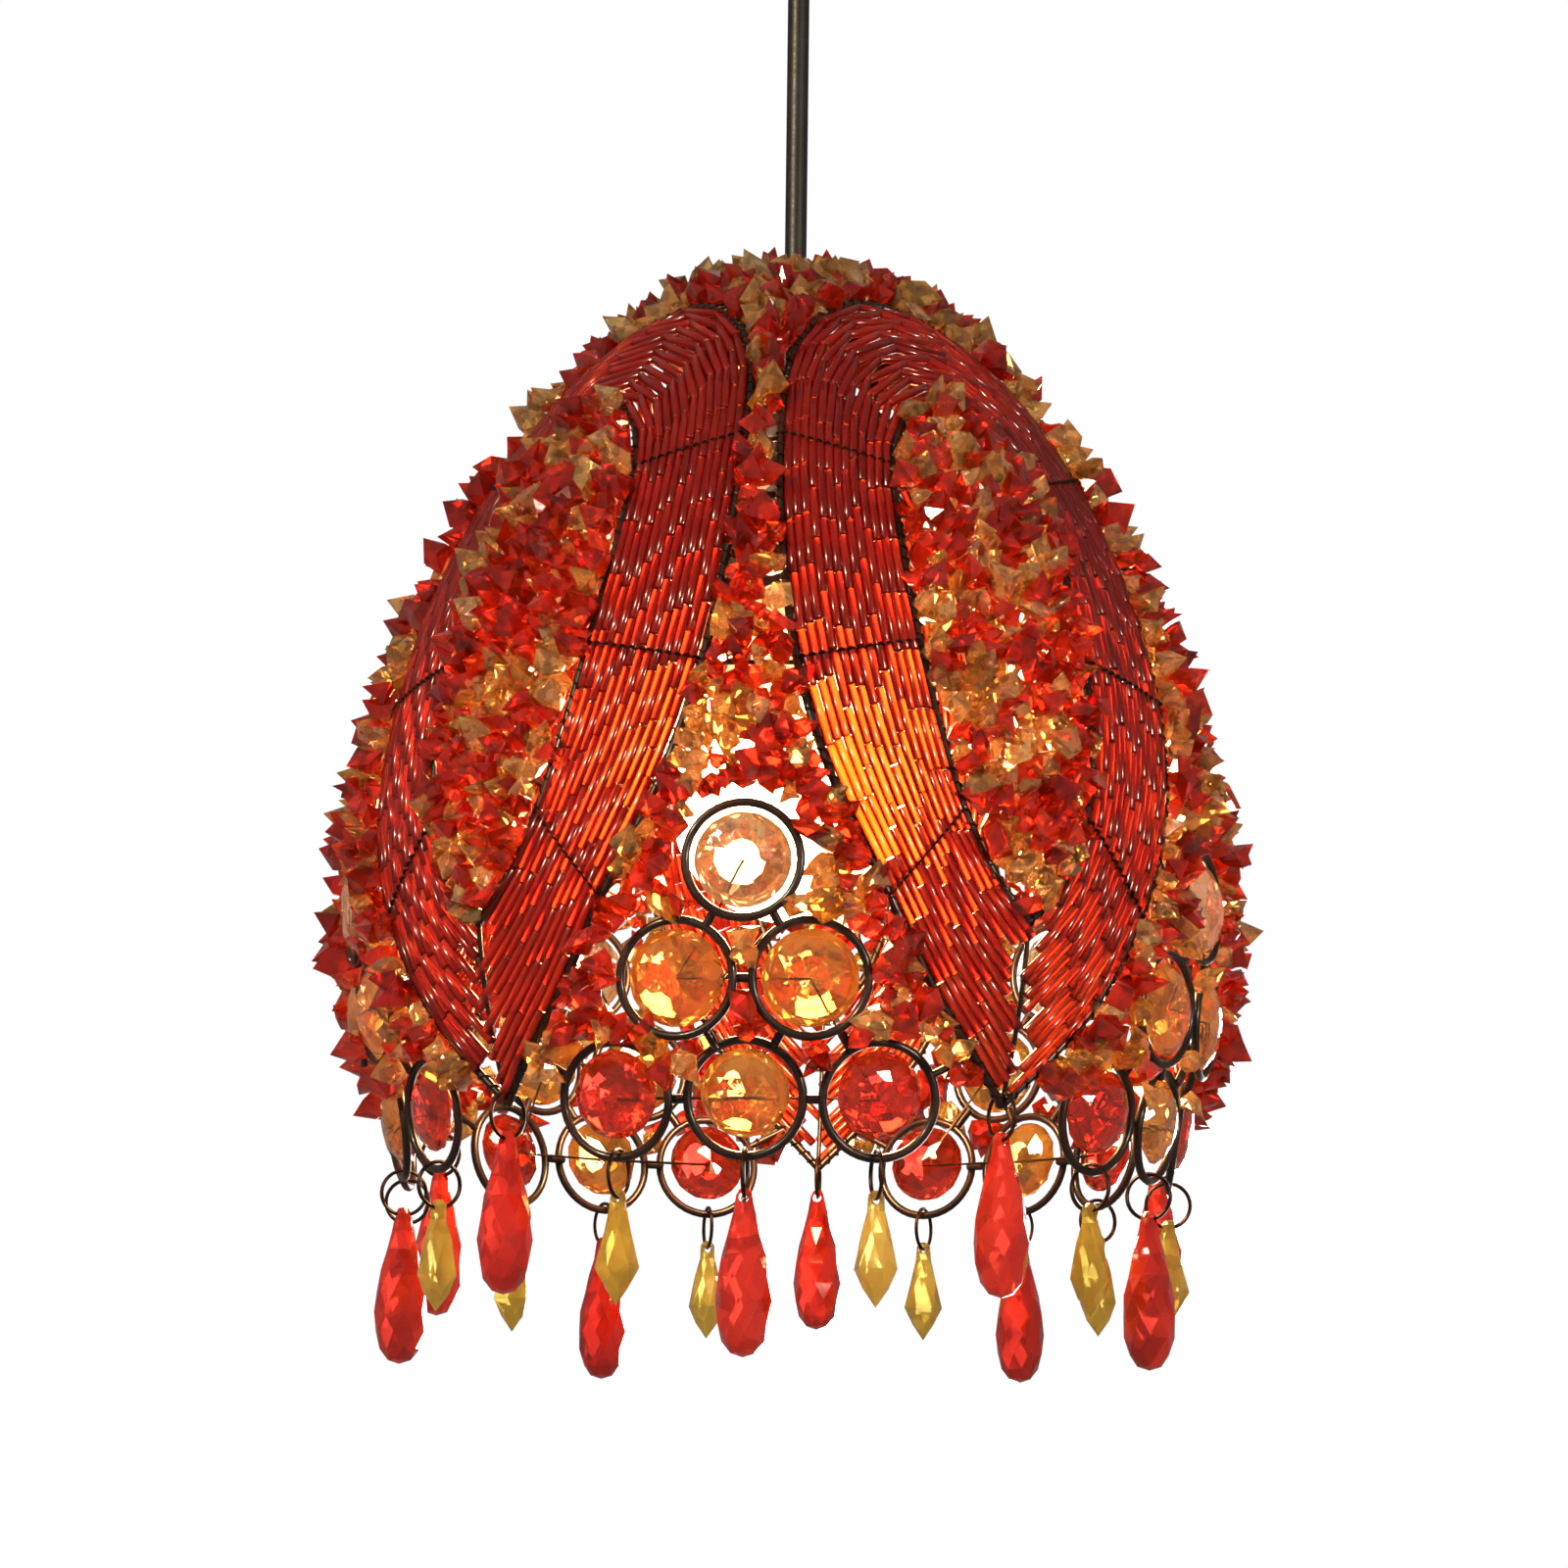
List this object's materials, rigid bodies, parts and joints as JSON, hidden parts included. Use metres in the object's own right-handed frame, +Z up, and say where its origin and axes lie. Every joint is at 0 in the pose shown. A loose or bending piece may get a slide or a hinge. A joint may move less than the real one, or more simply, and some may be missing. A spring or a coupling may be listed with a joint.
{
  "type": "pendant lamp",
  "caption": "Hanging pendant lamp: a domed wire shade threaded with red bead petals and amber chip beads, faceted stones in rim rings, a fringe of drops, cord and ceiling cup.",
  "frame": {"origin": "middle of the ceiling strap's flat top, over the lamp's axis", "axes": "+Z up; -Y towards the front group of stones; the lamp hangs down to -Z"},
  "size_m": [0.2338, 0.2334, 0.409],
  "materials": {
    "iron": "dark brown lacquered wire, satin",
    "bugle_beads": "translucent red bugle beads",
    "chip_acrylic": "mixed red and amber faceted chips, clear and glossy",
    "stone_acrylic": "faceted amber and red stones, clear and glossy",
    "red_acrylic": "translucent coral red, glossy",
    "gold_acrylic": "translucent olive gold, glossy",
    "black_plastic": "satin black",
    "cord_pvc": "smooth black flex",
    "black_metal": "satin black paint",
    "plated_steel": "zinc plated",
    "bulb_glass": "frosted, warm white"
  },
  "bodies": {
    "lamp": {"wire_frame": "iron", "chip_beads": "chip_acrylic", "bead_band_1": "bugle_beads", "bead_band_2": "bugle_beads", "bead_band_3": "bugle_beads", "bead_band_4": "bugle_beads", "bead_band_5": "bugle_beads", "stone_cluster_1": "stone_acrylic", "stone_cluster_2": "stone_acrylic", "stone_cluster_3": "stone_acrylic", "stone_cluster_4": "stone_acrylic", "stone_cluster_5": "stone_acrylic", "lampholder": "black_plastic", "shade_ring": "black_plastic", "bulb": "bulb_glass", "cord": "cord_pvc", "cord_grip": "black_plastic", "ceiling_cup": "black_metal", "ceiling_bracket": "plated_steel", "cup_screw": "plated_steel"},
    "ring_01": {"jump_ring_01": "iron"},
    "drop_01": {"red_drop_01": "red_acrylic"},
    "ring_02": {"jump_ring_02": "iron"},
    "drop_02": {"gold_drop_02": "gold_acrylic"},
    "ring_03": {"jump_ring_03": "iron"},
    "drop_03": {"red_drop_03": "red_acrylic"},
    "ring_04": {"jump_ring_04": "iron"},
    "drop_04": {"gold_drop_04": "gold_acrylic"},
    "ring_05": {"jump_ring_05": "iron"},
    "drop_05": {"red_drop_05": "red_acrylic"},
    "ring_06": {"jump_ring_06": "iron"},
    "drop_06": {"gold_drop_06": "gold_acrylic"},
    "ring_07": {"jump_ring_07": "iron"},
    "drop_07": {"red_drop_07": "red_acrylic"},
    "ring_08": {"jump_ring_08": "iron"},
    "drop_08": {"gold_drop_08": "gold_acrylic"},
    "ring_09": {"jump_ring_09": "iron"},
    "drop_09": {"red_drop_09": "red_acrylic"},
    "ring_10": {"jump_ring_10": "iron"},
    "drop_10": {"gold_drop_10": "gold_acrylic"},
    "ring_11": {"jump_ring_11": "iron"},
    "drop_11": {"red_drop_11": "red_acrylic"},
    "ring_12": {"jump_ring_12": "iron"},
    "drop_12": {"gold_drop_12": "gold_acrylic"},
    "ring_13": {"jump_ring_13": "iron"},
    "drop_13": {"red_drop_13": "red_acrylic"},
    "ring_14": {"jump_ring_14": "iron"},
    "drop_14": {"gold_drop_14": "gold_acrylic"},
    "ring_15": {"jump_ring_15": "iron"},
    "drop_15": {"red_drop_15": "red_acrylic"},
    "ring_16": {"jump_ring_16": "iron"},
    "drop_16": {"gold_drop_16": "gold_acrylic"},
    "ring_17": {"jump_ring_17": "iron"},
    "drop_17": {"red_drop_17": "red_acrylic"},
    "ring_18": {"jump_ring_18": "iron"},
    "drop_18": {"gold_drop_18": "gold_acrylic"},
    "ring_19": {"jump_ring_19": "iron"},
    "drop_19": {"red_drop_19": "red_acrylic"},
    "ring_20": {"jump_ring_20": "iron"},
    "drop_20": {"gold_drop_20": "gold_acrylic"}
  },
  "joints": [
    {"name": "jump_ring_01_swing", "type": "hinge", "parent": "lamp", "child": "ring_01", "pos_m": [0, -0.09562, -0.36378], "axis": [1, 0, 0], "range_deg": [-40, 40]},
    {"name": "drop_01_sway", "type": "hinge", "parent": "ring_01", "child": "drop_01", "pos_m": [0, -0.09562, -0.37293], "axis": [0, -1, 0], "range_deg": [-25, 25]},
    {"name": "jump_ring_02_swing", "type": "hinge", "parent": "lamp", "child": "ring_02", "pos_m": [0.02955, -0.09094, -0.36378], "axis": [0.9511, 0.309, 0], "range_deg": [-40, 40]},
    {"name": "drop_02_sway", "type": "hinge", "parent": "ring_02", "child": "drop_02", "pos_m": [0.02955, -0.09094, -0.37293], "axis": [0.309, -0.9511, 0], "range_deg": [-25, 25]},
    {"name": "jump_ring_03_swing", "type": "hinge", "parent": "lamp", "child": "ring_03", "pos_m": [0.05747, -0.07909, -0.3506], "axis": [0.809, 0.5878, 0], "range_deg": [-40, 40]},
    {"name": "drop_03_sway", "type": "hinge", "parent": "ring_03", "child": "drop_03", "pos_m": [0.05747, -0.07909, -0.3585], "axis": [0.5878, -0.809, 0], "range_deg": [-25, 25]},
    {"name": "jump_ring_04_swing", "type": "hinge", "parent": "lamp", "child": "ring_04", "pos_m": [0.07736, -0.0562, -0.36378], "axis": [0.5878, 0.809, 0], "range_deg": [-40, 40]},
    {"name": "drop_04_sway", "type": "hinge", "parent": "ring_04", "child": "drop_04", "pos_m": [0.07736, -0.0562, -0.37293], "axis": [0.809, -0.5878, 0], "range_deg": [-25, 25]},
    {"name": "jump_ring_05_swing", "type": "hinge", "parent": "lamp", "child": "ring_05", "pos_m": [0.09094, -0.02955, -0.36378], "axis": [0.309, 0.9511, 0], "range_deg": [-40, 40]},
    {"name": "drop_05_sway", "type": "hinge", "parent": "ring_05", "child": "drop_05", "pos_m": [0.09094, -0.02955, -0.37293], "axis": [0.9511, -0.309, 0], "range_deg": [-25, 25]},
    {"name": "jump_ring_06_swing", "type": "hinge", "parent": "lamp", "child": "ring_06", "pos_m": [0.09562, 0, -0.36378], "axis": [0, 1, 0], "range_deg": [-40, 40]},
    {"name": "drop_06_sway", "type": "hinge", "parent": "ring_06", "child": "drop_06", "pos_m": [0.09562, 0, -0.37293], "axis": [1, 0, 0], "range_deg": [-25, 25]},
    {"name": "jump_ring_07_swing", "type": "hinge", "parent": "lamp", "child": "ring_07", "pos_m": [0.09298, 0.03021, -0.3506], "axis": [-0.309, 0.9511, 0], "range_deg": [-40, 40]},
    {"name": "drop_07_sway", "type": "hinge", "parent": "ring_07", "child": "drop_07", "pos_m": [0.09298, 0.03021, -0.3585], "axis": [0.9511, 0.309, 0], "range_deg": [-25, 25]},
    {"name": "jump_ring_08_swing", "type": "hinge", "parent": "lamp", "child": "ring_08", "pos_m": [0.07736, 0.0562, -0.36378], "axis": [-0.5878, 0.809, 0], "range_deg": [-40, 40]},
    {"name": "drop_08_sway", "type": "hinge", "parent": "ring_08", "child": "drop_08", "pos_m": [0.07736, 0.0562, -0.37293], "axis": [0.809, 0.5878, 0], "range_deg": [-25, 25]},
    {"name": "jump_ring_09_swing", "type": "hinge", "parent": "lamp", "child": "ring_09", "pos_m": [0.0562, 0.07736, -0.36378], "axis": [-0.809, 0.5878, 0], "range_deg": [-40, 40]},
    {"name": "drop_09_sway", "type": "hinge", "parent": "ring_09", "child": "drop_09", "pos_m": [0.0562, 0.07736, -0.37293], "axis": [0.5878, 0.809, 0], "range_deg": [-25, 25]},
    {"name": "jump_ring_10_swing", "type": "hinge", "parent": "lamp", "child": "ring_10", "pos_m": [0.02955, 0.09094, -0.36378], "axis": [-0.9511, 0.309, 0], "range_deg": [-40, 40]},
    {"name": "drop_10_sway", "type": "hinge", "parent": "ring_10", "child": "drop_10", "pos_m": [0.02955, 0.09094, -0.37293], "axis": [0.309, 0.9511, 0], "range_deg": [-25, 25]},
    {"name": "jump_ring_11_swing", "type": "hinge", "parent": "lamp", "child": "ring_11", "pos_m": [0, 0.09777, -0.3506], "axis": [-1, 0, 0], "range_deg": [-40, 40]},
    {"name": "drop_11_sway", "type": "hinge", "parent": "ring_11", "child": "drop_11", "pos_m": [0, 0.09777, -0.3585], "axis": [0, 1, 0], "range_deg": [-25, 25]},
    {"name": "jump_ring_12_swing", "type": "hinge", "parent": "lamp", "child": "ring_12", "pos_m": [-0.02955, 0.09094, -0.36378], "axis": [-0.9511, -0.309, 0], "range_deg": [-40, 40]},
    {"name": "drop_12_sway", "type": "hinge", "parent": "ring_12", "child": "drop_12", "pos_m": [-0.02955, 0.09094, -0.37293], "axis": [-0.309, 0.9511, 0], "range_deg": [-25, 25]},
    {"name": "jump_ring_13_swing", "type": "hinge", "parent": "lamp", "child": "ring_13", "pos_m": [-0.0562, 0.07736, -0.36378], "axis": [-0.809, -0.5878, 0], "range_deg": [-40, 40]},
    {"name": "drop_13_sway", "type": "hinge", "parent": "ring_13", "child": "drop_13", "pos_m": [-0.0562, 0.07736, -0.37293], "axis": [-0.5878, 0.809, 0], "range_deg": [-25, 25]},
    {"name": "jump_ring_14_swing", "type": "hinge", "parent": "lamp", "child": "ring_14", "pos_m": [-0.07736, 0.0562, -0.36378], "axis": [-0.5878, -0.809, 0], "range_deg": [-40, 40]},
    {"name": "drop_14_sway", "type": "hinge", "parent": "ring_14", "child": "drop_14", "pos_m": [-0.07736, 0.0562, -0.37293], "axis": [-0.809, 0.5878, 0], "range_deg": [-25, 25]},
    {"name": "jump_ring_15_swing", "type": "hinge", "parent": "lamp", "child": "ring_15", "pos_m": [-0.09298, 0.03021, -0.3506], "axis": [-0.309, -0.9511, 0], "range_deg": [-40, 40]},
    {"name": "drop_15_sway", "type": "hinge", "parent": "ring_15", "child": "drop_15", "pos_m": [-0.09298, 0.03021, -0.3585], "axis": [-0.9511, 0.309, 0], "range_deg": [-25, 25]},
    {"name": "jump_ring_16_swing", "type": "hinge", "parent": "lamp", "child": "ring_16", "pos_m": [-0.09562, 0, -0.36378], "axis": [0, -1, 0], "range_deg": [-40, 40]},
    {"name": "drop_16_sway", "type": "hinge", "parent": "ring_16", "child": "drop_16", "pos_m": [-0.09562, 0, -0.37293], "axis": [-1, 0, 0], "range_deg": [-25, 25]},
    {"name": "jump_ring_17_swing", "type": "hinge", "parent": "lamp", "child": "ring_17", "pos_m": [-0.09094, -0.02955, -0.36378], "axis": [0.309, -0.9511, 0], "range_deg": [-40, 40]},
    {"name": "drop_17_sway", "type": "hinge", "parent": "ring_17", "child": "drop_17", "pos_m": [-0.09094, -0.02955, -0.37293], "axis": [-0.9511, -0.309, 0], "range_deg": [-25, 25]},
    {"name": "jump_ring_18_swing", "type": "hinge", "parent": "lamp", "child": "ring_18", "pos_m": [-0.07736, -0.0562, -0.36378], "axis": [0.5878, -0.809, 0], "range_deg": [-40, 40]},
    {"name": "drop_18_sway", "type": "hinge", "parent": "ring_18", "child": "drop_18", "pos_m": [-0.07736, -0.0562, -0.37293], "axis": [-0.809, -0.5878, 0], "range_deg": [-25, 25]},
    {"name": "jump_ring_19_swing", "type": "hinge", "parent": "lamp", "child": "ring_19", "pos_m": [-0.05747, -0.07909, -0.3506], "axis": [0.809, -0.5878, 0], "range_deg": [-40, 40]},
    {"name": "drop_19_sway", "type": "hinge", "parent": "ring_19", "child": "drop_19", "pos_m": [-0.05747, -0.07909, -0.3585], "axis": [-0.5878, -0.809, 0], "range_deg": [-25, 25]},
    {"name": "jump_ring_20_swing", "type": "hinge", "parent": "lamp", "child": "ring_20", "pos_m": [-0.02955, -0.09094, -0.36378], "axis": [0.9511, -0.309, 0], "range_deg": [-40, 40]},
    {"name": "drop_20_sway", "type": "hinge", "parent": "ring_20", "child": "drop_20", "pos_m": [-0.02955, -0.09094, -0.37293], "axis": [-0.309, -0.9511, 0], "range_deg": [-25, 25]}
  ]
}
